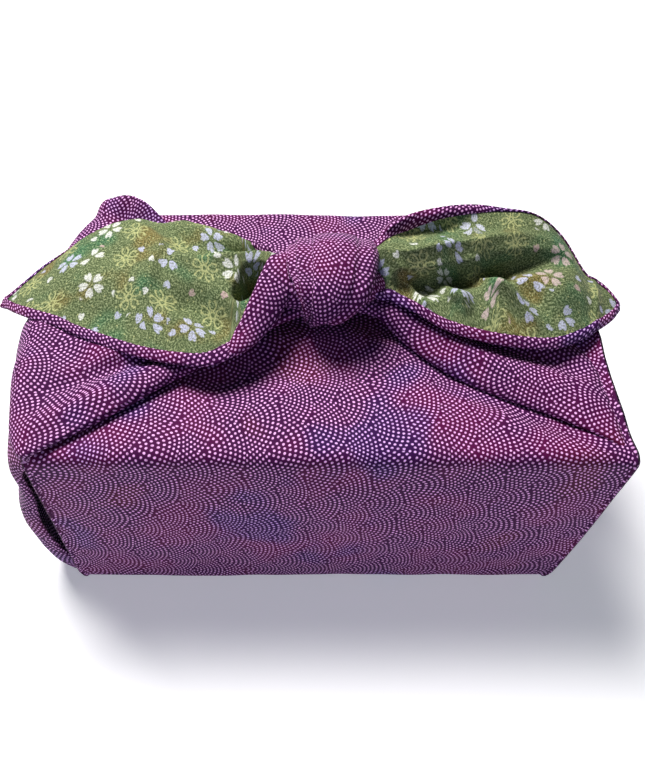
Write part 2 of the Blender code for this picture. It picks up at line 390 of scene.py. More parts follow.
@dataclass
class Belt:
    """The cloth round the box, from the upper flap over the front, base and back to the under flap."""

    box: Box = field(default_factory=Box)
    flap_end: float = 14.0
    under_flap_end: float = -10.0
    flap_lift: float = 2.8
    step: float = 2.3
    curl: float = 1.6
    curl_turn: float = 150.0
    curl_steps: int = 6
    crowding: float = 0.15
    ear: float = 0.8
    ear_drop: float = 30.0
    ear_reach: float = 15.0
    front_bow: float = 1.1
    base_calm: float = 0.35
    base_height: float = 4.0
    wall: float = 1.1
    ripples: tuple[Ripple, ...] = (Ripple(34, 0.9, 1.0), Ripple(15, 0.35, 5.0))
    flat: Pair = (0.222, 0.508)

    def profile(self) -> list[Pair]:
        """The belt's outer line.

        Returns:
            Its places along Y and Z, a step apart, from the under flap's end round to the upper flap's end.
        """
        top = self.box.height
        radius = self.box.edge_radius
        depth = self.box.half_depth
        marks = [(self.under_flap_end, top - 0.4), (20.0, top - 0.2)]
        corners = ((1, 1, 90), (1, -1, 0), (-1, -1, -90), (-1, 1, -180))
        for side_y, side_z, start in corners:
            centre_y = side_y * (depth - radius)
            centre_z = top / 2 + side_z * (top / 2 - radius)
            for step in range(9):
                angle = radians(start - 90 * step / 8)
                marks.append((centre_y + radius * cos(angle), centre_z + radius * sin(angle)))
        marks += [(-44.0, top), (-32.0, top + 0.1), (-22.0, top + 0.9), (-14.0, top + self.flap_lift)]
        marks += [(0.0, top + self.flap_lift + 0.3), (self.flap_end, top + self.flap_lift)]
        line = [marks[0]]
        for start, end in zip(marks, marks[1:]):
            long = hypot(end[0] - start[0], end[1] - start[1])
            parts = max(1, round(long / self.step))
            for part in range(1, parts + 1):
                share = part / parts
                line.append((start[0] + (end[0] - start[0]) * share, start[1] + (end[1] - start[1]) * share))
        return line

    def place(self, y: float, z: float, out: Vector, across: float, turn: float) -> Vector:
        """One place of the belt.

        Args:
            y: The profile's place along Y.
            z: The profile's height.
            out: The profile's outward way.
            across: -1 at the left edge and 1 at the right edge.
            turn: How far the edge has curled inwards there, in degrees.

        Returns:
            The place in millimetres.
        """
        left = self.box.left(z)
        right = self.box.right(z)
        near_top = hill(z - self.box.height, self.ear_drop)
        right += self.ear * near_top * hill(y + self.box.half_depth, self.ear_reach)
        x = left + (right - left) * (across + 1) / 2
        centre = Vector((x, y, z + self.box.rise(x, y, z)))
        middle = 1 - across**4
        soft = uneven(self.ripples, centre)
        soft *= self.base_calm if z < self.base_height and abs(out.z) > 0.9 else 1.0
        if z > 1.0:
            centre += out * soft * middle
        if out.y < -0.7:
            centre += out * (self.front_bow * middle * sin(pi * z / self.box.height))
        if out.z > 0.7 and z > 60:
            centre.z += fold_rise(BELT_FOLDS, x, y)
        angle = radians(turn)
        centre.x += copysign(self.curl * (sin(angle) - 1.0), across)
        spot = centre - out * (self.curl * (1 - cos(angle)))
        spot.z = max(spot.z, 0.0)
        return spot

    def build(self, material: Material) -> Object:
        """Makes the belt.

        Args:
            material: The outer cloth's finish.

        Returns:
            The finished piece.
        """
        line = self.profile()
        columns = round((self.box.right(0) - self.box.left(0)) / self.step)
        inner = [(place, 0.0) for place in spaced(columns, self.crowding)]
        turned = [self.curl_turn * (part + 1) / self.curl_steps for part in range(self.curl_steps)]
        stations = [(-1.0, turn) for turn in reversed(turned)] + inner + [(1.0, turn) for turn in turned]
        points = []
        for index, (y, z) in enumerate(line):
            before = line[max(index - 1, 0)]
            after = line[min(index + 1, len(line) - 1)]
            run = Vector((0, after[0] - before[0], after[1] - before[1])).normalized()
            out = Vector((0, -run.z, run.y))
            points.append([self.place(y, z, out, across, turn) for across, turn in stations])
        piece = lay_sheet("belt", points, Print.ACROSS, (0.0, 0.0))
        return finish_cloth(piece, material, self.wall)


LEFT_ARM = (
    ArmRow(-112, -66, 1, -111, 67, 1, 0, 13, 5, 5),
    ArmRow(-116, -66, 9, -110, 67, 9, 0, 14.8, 14, 4.3),
    ArmRow(-120, -65.5, 24, -109, 67.5, 24, 0, 12.4, 20, 4),
    ArmRow(-121.2, -65, 50, -108, 68, 50, 0, 11.8, 21.2, 3.3),
    ArmRow(-116.4, -64.5, 80, -106.5, 68.5, 80, 6, 10.8, 18.2, 2.6),
    ArmRow(-106, -67.5, 95.5, -104.5, 69.5, 97, 21, 20.9, 18.8, 1.7),
    ArmRow(-104, -69.5, 104, -98, 70, 105, 57, 3.4, 5.3, 4.2),
    ArmRow(-84, -56, 104.6, -81, 62, 105.6, 85, 3.5, 4),
    ArmRow(-63, -40, 105, -62, 45, 105.2, 90, 4, 5),
    ArmRow(-48, -30, 105.8, -46, 32, 105.5, 90, 4, 5),
    ArmRow(-34, -22, 107.8, -32, 22, 108, 90, 3.5, 4),
    ArmRow(-20, -13, 111, -20, 14, 112, 90, 3, 3.5),
    ArmRow(-6, -9, 115, -6, 10, 115.5, 90, 3, 3),
)
RIGHT_ARM = (
    ArmRow(98, -63, 1, 100.5, 67, 1, 0, 5, 3),
    ArmRow(98.5, -63, 22, 101.5, 67.5, 22, 0, 11, 8),
    ArmRow(100, -64, 50, 103, 68, 50, 0, 12.5, 10),
    ArmRow(102, -66, 80, 104.5, 68.5, 79, 4, 10, 8),
    ArmRow(106, -67.5, 94, 105, 69.5, 90.5, 15, 5, 5),
    ArmRow(105, -62.5, 101, 101, 70, 98, 60, 3, 3, 3.4),
    ArmRow(87, -50, 100.2, 85, 58, 101, 85, 8, 6.5, 2),
    ArmRow(66, -39.5, 100.2, 65, 43, 102.5, 90, 9.5, 8, 2),
    ArmRow(48, -29, 101.2, 48, 31, 103.5, 90, 9.5, 8, 2),
    ArmRow(32, -16, 104, 33, 21, 107, 90, 9, 7.5, 2.2),
    ArmRow(20, -8, 111.5, 20, 14, 113, 90, 4, 4),
    ArmRow(6, -8, 114.5, 6, 10, 115.5, 90, 3, 3),
)
LEFT_ARM_FOLDS = (
    crease(-3.2, 6, 5, Edge.SOFT, (-44, -19, 0.6), (-60, -25, 1), (-80, -31, 1), (-106, -44, 0.3)),
    crease(1.8, 6, 6, Edge.SOFT, (-60, -34, 0.4), (-84, -46, 1), (-104, -58, 0.6)),
    crease(1.4, 11, 11, Edge.SOFT, (-104, -30, 1), (-122, -36, 0.3)),
    crease(2.0, 9, 9, Edge.SOFT, (-60, -30, 0.3), (-80, -24, 1), (-104, -14, 1), (-120, -8, 0.5)),
    crease(12.0, 15, 15, Edge.SOFT, (-52, 66, 0.1), (-70, 66, 0.55), (-84, 68, 1), (-97, 70, 0.55)),
    crease(-2.6, 4, 5, Edge.CRISP, (-98, 52, 0.3), (-94, 58, 1), (-88, 63, 0.8), (-78, 66, 0.1)),
    crease(-2.0, 8, 8, Edge.SOFT, (-40, 22, 0.5), (-66, 38, 1), (-90, 52, 0.2)),
    crease(1.5, 9, 9, Edge.SOFT, (-40, 12, 0.5), (-98, 30, 1)),
)
RIGHT_ARM_FOLDS = (
    crease(1.8, 6, 5, Edge.SOFT, (28, -5, 0.7), (44, -16, 1), (64, -28, 0.8), (98, -46, 0.3)),
    crease(-3.4, 9, 7, Edge.SOFT, (42, -6, 0.4), (64, -16, 1), (96, -30, 0.6)),
    crease(-2.0, 8, 8, Edge.SOFT, (40, 20, 0.5), (66, 34, 1), (92, 48, 0.2)),
    crease(1.5, 9, 9, Edge.SOFT, (40, 12, 0.5), (98, 28, 1)),
)


@dataclass
class Arm:
    """One arm of the cloth: up a side of the box, over the top and into the knot."""

    name: str
    side: Side
    rows: Sequence[ArmRow]
    folds: Sequence[Fold]
    steps: int = 150
    across_steps: int = 110
    curl: float = 1.0
    curl_turn: float = 0.9 * pi
    curl_steps: int = 5
    spread: float = 4.6
    half_width: float = 66.0
    mean_puff: float = 24.0
    rows_on_top: int = 9
    shoulder_run: float = 1.6
    slack: float = 1.3
    slack_middle: float = 62.0
    slack_reach: float = 66.0
    fan_height: float = 125.0
    print_start: Pair = (150.0, 40.0)
    ripples: tuple[Ripple, ...] = (Ripple(22, 0.8, 9.0), Ripple(9, 0.25, 3.0))
    wall: float = 1.0
    flat: Pair = (0.150, 0.215)

    def place(self, place: float, across: float) -> Vector:
        """One place of the arm's outer side.

        Args:
            place: A fractional row number.
            across: -1 at the front edge and 1 at the back edge.

        Returns:
            The place in millimetres.
        """
        row = between(self.rows, place)
        share = (across + 1) / 2
        front = Vector((row.front_x, row.front_y, row.front_z))
        back = Vector((row.back_x, row.back_y, row.back_z))
        angle = radians(row.outward)
        out = Vector((self.side.value * cos(angle), 0, sin(angle)))
        puff = row.front_puff + (row.back_puff - row.front_puff) * share
        base = front.lerp(back, share)
        edge = (1 - min(abs(across), 1.0) ** row.square) ** (1 / row.square)
        top = base + out * (puff * edge)
        shoulder = len(self.rows) - self.rows_on_top
        lifted = min(max((place - shoulder) / self.shoulder_run, 0.0), 1.0)
        rise = fold_rise(self.folds, top.x, top.y) * lifted
        side_fold = self.side_folds(top) * (1 - lifted)
        soft = uneven(self.ripples, top)
        spot = top + out * (rise + side_fold + soft * min(1.0, edge * 1.3))
        spot.z = max(spot.z, 0.2)
        return spot

    def side_folds(self, top: Vector) -> float:
        """How far the side's slack folds, which fan out from its upper middle, lift the cloth at a place."""
        fan = atan2(top.y, max(self.fan_height - top.z, 5.0))
        strength = self.slack * hill(top.z - self.slack_middle, self.slack_reach)
        return strength * sin(9 * fan + 0.8 * self.side.value) + 0.6 * strength * sin(17 * fan)

    def build(self, material: Material) -> Object:
        """Makes the arm.

        Args:
            material: The outer cloth's finish.

        Returns:
            The finished piece.
        """
        last = len(self.rows) - 1
        stations = even_places(self.across_steps, self.half_width, self.mean_puff, self.spread)
        points = []
        for step in range(self.steps + 1):
            place = last * step / self.steps
            line = self.curled([self.place(place, across) for across in stations])
            points.append(line if self.side is Side.RIGHT else line[::-1])
        start = (self.print_start[0] * self.side.value, self.print_start[1])
        piece = lay_sheet(self.name, points, Print.ALONG, start)
        return finish_cloth(piece, material, self.wall)

    def curled(self, line: Line) -> Line:
        """Turns both edges of a section under, as a folded edge lies.

        Args:
            line: The section's places, front to back.

        Returns:
            The section with its two curled edges added.
        """
        ends = []
        for first, second in ((line[0], line[1]), (line[-1], line[-2])):
            away = (first - second).normalized()
            span = (line[-1] - line[0]).normalized()
            inward = span if (line[0] - first).length < 1e-6 else -span
            turn = (inward - away * inward.dot(away)).normalized()
            curl = []
            for step in range(1, self.curl_steps + 1):
                angle = self.curl_turn * step / self.curl_steps
                curl.append(first + (away * sin(angle) + turn * (1 - cos(angle))) * self.curl)
            ends.append(curl)
        return ends[0][::-1] + line + ends[1]


LEFT_WING = (
    WingRow(-16, -9, 124.5, 10, 127, 2, 0.5, 11),
    WingRow(-21, -14, 123.0, 14, 127.5, 3, 0.6, 11),
    WingRow(-26, -21, 119.5, 18, 126, 5, 0.7, 10),
    WingRow(-34, -31, 116, 27, 121, 9, 0.76, 7),
    WingRow(-43, -35, 114.5, 36, 117, 12, 0.78, 4),
    WingRow(-55, -33.5, 113.5, 44, 113, 14, 0.8),
    WingRow(-73, -28, 112, 49, 110, 15, 0.82),
    WingRow(-91, -20, 111.5, 49, 109, 12, 0.83),
    WingRow(-106, -12, 111, 43, 108.5, 7, 0.8),
    WingRow(-121, -5, 109.5, 29, 107.5, 2, 0.7),
    WingRow(-130, 1.5, 106.6, 18, 105.5, 0.5, 0.6),
    WingRow(-136.5, 7.5, 103.8, 10.5, 103.6, 0, 0.5),
)
RIGHT_WING = (
    WingRow(16, -4, 120, 11, 130, 2, 0.5),
    WingRow(21, -4.5, 119.5, 14, 132.5, 2, 0.5),
    WingRow(26, -5, 118.5, 18, 135, 1, 0.5),
    WingRow(34, -9, 117, 22, 137, 0, 0.5),
    WingRow(46, -17, 115, 26, 138, 0, 0.5),
    WingRow(59, -21.5, 113.5, 30, 136.5, 1, 0.5),
    WingRow(73, -24, 112.5, 32, 133.5, 2, 0.5, 3.4, 1.4),
    WingRow(88, -24, 111.5, 34, 129, 3, 0.5, 3.4, 0.7),
    WingRow(100, -18.5, 110.5, 30, 121, 4, 0.5, 3.4, 0.7),
    WingRow(109, -12, 109.5, 17, 112.5, 2, 0.5, 3.4, 1.2),
    WingRow(117, -5, 108.3, 12.5, 109.5, 1, 0.5),
    WingRow(121, 1, 107.8, 4, 108, 0, 0.5),
)
LEFT_WING_FOLDS = (
    crease(-20.0, 4.8, 4.8, Edge.STEEP, (-26, 0, 0.9), (-29, 0, 1), (-30.5, -4, 1), (-32, -7, 0.7)),
    crease(4.0, 8, 3.5, Edge.CRISP, (-22, 9, 0.6), (-34, 7.5, 1), (-46, 8, 1), (-58, 11, 0.5), (-66, 18, 0)),
    crease(-7.5, 6, 6, Edge.CRISP, (-22, 13.5, 0.8), (-33, 15, 1), (-50, 17, 0.1)),
    crease(2.5, 3, 4, Edge.CRISP, (-24, 17, 0.6), (-36, 22, 1), (-44, 28, 0)),
    crease(-5.6, 9, 8, Edge.SOFT, (-63, -3, 0.2), (-55, -8, 1), (-42, -18, 1), (-34, -25, 0.4)),
    crease(-4.6, 9, 9, Edge.SOFT, (-48, 14, 0.5), (-58, 22, 1), (-72, 39, 0.8)),
    crease(3.4, 5, 9, Edge.CRISP, (-66, 26, 0.2), (-69, 8, 1), (-70, -2, 0.9), (-66, -12, 0.1)),
    crease(2.2, 12, 16, Edge.SOFT, (-80, 2, 0.5), (-90, 4, 1), (-108, 10, 0.6)),
    crease(-1.4, 8, 8, Edge.SOFT, (-76, -17, 0.6), (-98, -11, 1)),
)
RIGHT_WING_FOLDS = (
    crease(5.5, 6, 9.5, Edge.CRISP, (20, 9, 0.5), (34, 9.5, 1), (56, 13, 1), (78, 19, 0.7), (96, 22, 0.1)),
    crease(-6.0, 5, 5.5, Edge.SOFT, (24, 17, 0.5), (33, 18.5, 1), (46, 20, 0.9), (60, 24, 0.2)),
    crease(-12.0, 4.2, 8.5, Edge.SOFT, (31, 0, 0.4), (40, 0, 1), (58, 3, 1), (74, 8, 0.8), (96, 14, 0.2)),
    crease(4.0, 3, 4.5, Edge.CRISP, (27, 7, 0.4), (34, -1, 1), (38, -6, 0.8), (40, -11, 0.1)),
    crease(5.5, 5, 4, Edge.SOFT, (43, 1, 0.4), (48, -2, 1), (53, -8, 0.8), (55, -14, 0.1)),
    crease(6.5, 4, 6, Edge.CRISP, (58, 5, 0.6), (64, 1, 1), (71, -5, 1), (82, -17, 0.2)),
    crease(-3.0, 6, 4, Edge.SOFT, (64, 8, 0.6), (71, 3, 1), (79, -4, 1), (88, -13, 0.1)),
    crease(-6.0, 3, 4, Edge.SOFT, (19, 3, 1), (22.5, -2, 0.7)),
    crease(1.8, 10, 10, Edge.SOFT, (92, -4, 1), (108, 2, 0.4)),
    crease(1.8, 3.5, 3.5, Edge.CRISP, (113, 15, 1), (110, 2, 1), (107, -12, 0.7)),
)


@dataclass
class Wing:
    """A free corner of the cloth that spreads out of the knot, with the lining up and a turned border."""

    name: str
    side: Side
    rows: Sequence[WingRow]
    folds: Sequence[Fold]
    steps: int = 130
    across_steps: int = 72
    hem_puff: float = 0.9
    hem_steps: int = 6
    hem_share: float = 0.92
    border_share: float = 0.55
    crowding: float = 0.3
    inset: float = 0.985
    tuck: float = 0.6
    lining_lift: float = 0.15
    lining_wall: float = 0.5
    back_drop: float = 2.0
    roll: float = 1.1
    print_along: float = 60.0
    back_across: float = 20.0
    lining_across: float = 35.0
    ripples: tuple[Ripple, ...] = (Ripple(16, 0.9, 7.0), Ripple(7, 0.3, 2.0))
    back_flat: Pair = (0.125, 0.070)
    lining_flat: Pair = (0.110, 0.054)

    def top(self, place: float, across: float) -> Vector:
        """One place of the wing's upper side.

        Args:
            place: A fractional row number.
            across: -1 at the front border and 1 at the back border.

        Returns:
            The place in millimetres.
        """
        row = between(self.rows, place)
        share = (across + 1) / 2
        front = Vector((row.x, row.front_y, row.front_z))
        back = Vector((row.x, row.back_y, row.back_z))
        chord = back - front
        normal = Vector((0, -chord.z, chord.y)).normalized()
        if share < row.crown_at:
            arch = sin(pi / 2 * share / row.crown_at)
        else:
            arch = cos(pi / 2 * (share - row.crown_at) / (1 - row.crown_at))
        flat = front + chord * share
        level = flat + normal * (row.crown * arch)
        edge = 1 - abs(across) ** 6
        rise = fold_rise(self.folds, level.x, level.y) * (0.25 + 0.75 * edge)
        rise += uneven(self.ripples, level) * edge
        return level + normal * rise

    def normal(self, place: float, across: float) -> Vector:
        """The upper side's way up at a place.

        Args:
            place: A fractional row number.
            across: A place from -1 to 1.

        Returns:
            A unit vector.
        """
        last = len(self.rows) - 1
        ahead = self.top(min(place + 0.05, last), across) - self.top(max(place - 0.05, 0.0), across)
        aside = self.top(place, min(across + 0.03, 1.0)) - self.top(place, max(across - 0.03, -1.0))
        return (ahead.cross(aside) * self.side.value).normalized()

    def hems(self, place: float) -> Pair:
        """Where the front and back hems end.

        Args:
            place: A fractional row number.

        Returns:
            The two places across the wing, from -1 to 1.
        """
        row = between(self.rows, place)
        width = max(hypot(row.back_y - row.front_y, row.back_z - row.front_z), 1.0)
        front = -1 + min(2 * row.front_hem / width, self.hem_share)
        back = 1 - min(2 * row.back_hem / width, self.hem_share)
        return front, back

    def hem(self, place: float, inner: float, border: float) -> Line:
        """The upper side of a hem.

        Args:
            place: A fractional row number.
            inner: Where the hem ends on the wing, from -1 to 1.
            border: -1 for the front border or 1 for the back border.

        Returns:
            Its places, from its inner end to the border.
        """
        line = []
        for part in range(self.hem_steps + 1):
            share = part / self.hem_steps
            across = inner + (border - inner) * share
            puff = self.hem_puff * sin(pi * (0.12 + 0.8 * share)) ** 0.7
            line.append(self.top(place, across) + self.normal(place, across) * puff)
        return line

    def section(self, place: float) -> Line:
        """The plum cloth's line round one section: over the front hem, under the wing and over the back hem.

        Args:
            place: A fractional row number.

        Returns:
            Its places, front hem first.
        """
        front_in, back_in = self.hems(place)
        line = self.hem(place, front_in, -1.0) + self.edge_roll(place, -1.0)
        for across in spaced(self.across_steps, self.crowding):
            spot = self.top(place, across * self.inset)
            drop = self.back_drop + 0.3 * max(0.0, -fold_rise(self.folds, spot.x, spot.y))
            line.append(spot - self.normal(place, across) * drop)
        return line + self.edge_roll(place, 1.0)[::-1] + self.hem(place, back_in, 1.0)[::-1]

    def edge_roll(self, place: float, across: float) -> Line:
        """The round turn of the cloth at a border, from the upper side to the under side.

        Args:
            place: A fractional row number.
            across: -1 for the front border or 1 for the back border.

        Returns:
            Its places.
        """
        border = self.top(place, across)
        inner = self.top(place, across * 0.94)
        away = (border - inner).normalized()
        up = self.normal(place, across)
        up = (up - away * up.dot(away)).normalized()
        puff = self.hem_puff * self.border_share
        middle = (puff - self.back_drop) / 2
        tall = (puff + self.back_drop) / 2
        turns = [radians(90 - 180 * part / 6) for part in range(1, 6)]
        rounds = [(self.roll * cos(turn), middle + tall * sin(turn)) for turn in turns]
        return [border + away * out + up * rise for out, rise in rounds]

    def build_back(self, material: Material) -> Object:
        """Makes the plum side with its turned border.

        Args:
            material: The outer cloth's finish.

        Returns:
            The finished piece.
        """
        last = len(self.rows) - 1
        points = []
        for step in range(self.steps + 1):
            line = self.section(last * step / self.steps)
            points.append(line[::-1] if self.side is Side.RIGHT else line)
        tip = points[-1]
        centre = sum(tip, Vector()) / len(tip)
        ahead = Vector((self.side.value, 0, -0.1))
        for shrink, reach in ((0.85, 0.5), (0.5, 1.0), (0.02, 1.2)):
            points.append([centre.lerp(place, shrink) + ahead * reach for place in tip])
        points = [line[::-1] for line in points]
        anchors = (9, len(points[0]) - 10)
        start = (self.print_along * self.side.value, self.back_across)
        piece = lay_sheet(self.name + "_back", points, Print.ALONG, start, anchors)
        return finish_cloth(piece, material)

    def build_lining(self, material: Material, node: str) -> Object:
        """Makes the lining between the hems.

        Args:
            material: The lining's finish.
            node: The lining's solid.

        Returns:
            The finished piece.
        """
        last = len(self.rows) - 1
        points = []
        end = last
        while self.lining_width(end) < 1.0 and end > last - 2:
            end -= 0.05
        for step in range(self.steps + 1):
            place = end * step / self.steps
            front_in, back_in = self.hems(place)
            width = self.lining_width(place) / max(back_in - front_in, 0.05)
            half = (back_in - front_in) / 2 + self.tuck / max(width, 1.0)
            line = []
            for share in spaced(self.across_steps, self.crowding):
                across = (front_in + back_in) / 2 + share * half
                line.append(self.top(place, across) + self.normal(place, across) * self.lining_lift)
            points.append(line[::-1] if self.side is Side.RIGHT else line)
        start = (self.print_along * self.side.value, self.lining_across)
        piece = lay_sheet(self.name + "_lining", points, Print.ALONG, start)
        return finish_cloth(piece, material, self.lining_wall, node)

    def lining_width(self, place: float) -> float:
        """How wide the lining shows at a section."""
        front_in, back_in = self.hems(place)
        row = between(self.rows, place)
        return hypot(row.back_y - row.front_y, row.back_z - row.front_z) * (back_in - front_in) / 2


KNOT_BAND = (
    BandRow(2, 12, 110, 12, 4),
    BandRow(3, 17, 118.5, 16, 5.5),
    BandRow(3, 13, 127.5, 18, 6.5),
    BandRow(2.5, 2, 131, 18, 7),
    BandRow(1.5, -8.5, 127.5, 15.5, 6.5),
    BandRow(-1.5, -13, 121.5, 10.5, 5.6),
    BandRow(-4.5, -13, 117.5, 5.5, 4),
    BandRow(-6, -11, 114, 2.5, 3),
)
KNOT_CORE = (
    BandRow(-23, 0, 120, 4, 3),
    BandRow(-15, 0, 120.5, 9, 8),
    BandRow(0, 1, 121, 13, 11),
    BandRow(15, 2, 120.5, 9, 8),
    BandRow(23, 3, 120, 4, 3),
)
TURNED_EDGE = (
    BandRow(-11, 10, 128, 4, 2.5),
    BandRow(-16.5, 3, 130, 5.5, 3),
    BandRow(-19.5, -6.5, 126.5, 6.8, 3.2),
    BandRow(-24, -15.5, 121.2, 6.4, 3),
    BandRow(-29.5, -23.5, 117.4, 4.8, 2.6),
    BandRow(-35, -30, 115.6, 2.6, 1.8),
    BandRow(-41, -34, 114.6, 1, 0.9),
)
BAND_PLEATS = (
    Pleat(52, 17, -1.6),
    Pleat(118, 12, -2.2),
    Pleat(148, 12, -2.4),
    Pleat(85, 18, 0.8),
    Pleat(300, 20, -1.0),
)
EDGE_PLEATS = (Pleat(120, 24, -0.6),)


@dataclass
class Band:
    """A rolled band of the knot, with soft pleats along it."""

    name: str
    rows: Sequence[BandRow]
    width_way: Triple
    pleats: Sequence[Pleat] = ()
    steps: int = 110
    around: int = 96
    print_start: Pair = (75.0, 48.0)
    ripples: tuple[Ripple, ...] = (Ripple(9, 0.5, 4.0), Ripple(4, 0.15, 6.0))
    flat: Pair = (0.085, 0.068)

    def ring(self, place: float) -> Line:
        """One ring of the band.

        Args:
            place: A fractional row number.

        Returns:
            Its places, closed by the first one again.
        """
        last = len(self.rows) - 1
        row = between(self.rows, place)
        ahead = between(self.rows, min(place + 0.05, last))
        behind = between(self.rows, max(place - 0.05, 0.0))
        along = Vector((ahead.x - behind.x, ahead.y - behind.y, ahead.z - behind.z)).normalized()
        thick = along.cross(Vector(self.width_way)).normalized()
        wide = thick.cross(along)
        centre = Vector((row.x, row.y, row.z))
        ring = []
        for step in range(self.around + 1):
            angle = tau * (step % self.around) / self.around
            flat = abs(cos(angle)) ** 0.8 * copysign(1.0, cos(angle))
            high = abs(sin(angle)) ** 0.9 * copysign(1.0, sin(angle))
            out = wide * (row.half_width * flat) + thick * (row.half_thick * high)
            rise = sum(each.rise * hill(degrees(angle) - each.at, each.reach) for each in self.pleats)
            spot = centre + out
            rise += uneven(self.ripples, spot)
            ring.append(spot + out.normalized() * rise)
        return ring

    def build(self, material: Material) -> Object:
        """Makes the band.

        Args:
            material: The outer cloth's finish.

        Returns:
            The finished piece.
        """
        last = len(self.rows) - 1
        points = [self.ring(last * step / self.steps) for step in range(self.steps + 1)]
        points = [line[::-1] for line in points]
        half = self.around // 4
        points = [line[half:-1] + line[: half + 1] for line in points]
        for end, at in ((0, 0), (-1, len(points))):
            ring = points[end]
            centre = sum(ring, Vector()) / len(ring)
            points.insert(at, [centre.lerp(place, 0.02) for place in ring])
        piece = lay_sheet(self.name, points, Print.ALONG, self.print_start)
        return finish_cloth(piece, material)


def operator(operation: str, swapped: bool = False) -> Callable[..., "Sock"]:
    """Makes a method that joins values through a Math node, with the object's own value last if swapped."""
    order = -1 if swapped else 1
    return lambda *values: values[0].net.math(operation, *values[::order])


class Sock:
    """A socket's value, which the usual operators join with others through Math nodes."""

    __add__ = __radd__ = operator("ADD")
    __sub__ = operator("SUBTRACT")
    __rsub__ = operator("SUBTRACT", swapped=True)
    __mul__ = __rmul__ = operator("MULTIPLY")
    __truediv__ = operator("DIVIDE")
    __rtruediv__ = operator("DIVIDE", swapped=True)
    floor = operator("FLOOR")
    round = operator("ROUND")
    root = operator("SQRT")
    sine = operator("SINE")
    cosine = operator("COSINE")
    absolute = operator("ABSOLUTE")
    greater = operator("MAXIMUM")
    under = operator("LESS_THAN")
    remainder = operator("FLOORED_MODULO")
    bearing = operator("ARCTAN2")

    def __init__(self, net: "Net", socket: bpy.types.NodeSocket) -> None:
        """Keeps the socket and the net that it belongs to."""
        self.net = net
        self.socket = socket

    def step(self, low: float, high: float) -> "Sock":
        """A soft step.

        Args:
            low: Where it is 0, which may be the greater of the two.
            high: Where it is 1.

        Returns:
            The step's value, from 0 to 1.
        """
        turned = low > high
        start, end = (high, low) if turned else (low, high)
        settings = {"interpolation_type": "SMOOTHSTEP"}
        soft = self.net.node("ShaderNodeMapRange", settings, {0: self, 1: start, 2: end, 3: 0.0, 4: 1.0})
        return 1.0 - soft if turned else soft


class Net:
    """A material's node tree, with one method that makes any node."""

    bump_strength = 0.7
    sheen_roughness = 0.45
    specular = 0.12

    def __init__(self, name: str) -> None:
        """Starts a new material that has only its shader and output."""
        self.material = bpy.data.materials.new(name)
        self.material.use_nodes = True
        self.tree = self.material.node_tree
        self.shader = self.tree.nodes["Principled BSDF"]

    def node(self, kind: str, settings: dict[str, object], sockets: dict, output: int | str = 0) -> Sock:
        """Makes a node.

        Args:
            kind: Its type.
            settings: Its properties, which are set before its sockets.
            sockets: Values or links by socket number or name.
            output: The output that is wanted.

        Returns:
            That output.
        """
        made = self.tree.nodes.new(kind)
        for key, value in settings.items():
            setattr(made, key, value)
        for key, value in sockets.items():
            if isinstance(value, Sock):
                self.tree.links.new(value.socket, made.inputs[key])
            else:
                made.inputs[key].default_value = value
        return Sock(self, made.outputs[output])

    def math(self, operation: str, *values: Value) -> Sock:
        """A Math node of the values."""
        return self.node("ShaderNodeMath", {"operation": operation}, dict(enumerate(values)))

    def colour(self, share: Value, first: object, second: object) -> Sock:
        """A colour between two colours."""
        return self.node("ShaderNodeMix", {"data_type": "RGBA"}, {0: share, 6: first, 7: second}, 2)

    def choose(self, share: Value, first: Value, second: Value) -> Sock:
        """A number between two numbers."""
        return self.node("ShaderNodeMix", {"data_type": "FLOAT"}, {0: share, 2: first, 3: second}, 0)

    def cloth_place(self) -> Sock:
        """The place on the cloth, in millimetres."""
        uv = self.node("ShaderNodeUVMap", {"uv_map": UV_NAME}, {})
        return self.node("ShaderNodeVectorMath", {"operation": "SCALE"}, {0: uv, "Scale": 1000.0})

    def split(self, vector: Sock) -> tuple[Sock, Sock]:
        """The X and Y of a vector."""
        made = self.node("ShaderNodeSeparateXYZ", {}, {0: vector})
        return made, Sock(self, made.socket.node.outputs[1])

    def noise(self, place: Sock, size: float, detail: float = 2.0, rough: float = 0.5) -> Sock:
        """Soft noise of about a size in millimetres, from 0 to 1 with its middle at 0.5."""
        values = {"Vector": place, "Scale": 1.0 / size, "Detail": detail, "Roughness": rough}
        return self.node("ShaderNodeTexNoise", {"noise_dimensions": "3D"}, values)

    def finish(self, colour: Sock, roughness: Sock, height: Sock, depth: float, sheen: float) -> Material:
        """Joins the looks to the shader.

        Args:
            colour: The base colour.
            roughness: The roughness.
            height: The surface's height, from 0 to 1.
            depth: How deep that height is, in metres.
            sheen: The soft light along the edges of folds.

        Returns:
            The material.
        """
        values = {"Strength": self.bump_strength, "Distance": depth, "Height": height}
        bump = self.node("ShaderNodeBump", {}, values)
        links = self.tree.links
        links.new(colour.socket, self.shader.inputs["Base Color"])
        links.new(roughness.socket, self.shader.inputs["Roughness"])
        links.new(bump.socket, self.shader.inputs["Normal"])
        self.shader.inputs["Sheen Weight"].default_value = sheen
        self.shader.inputs["Sheen Roughness"].default_value = self.sheen_roughness
        self.shader.inputs["Specular IOR Level"].default_value = self.specular
        return self.material


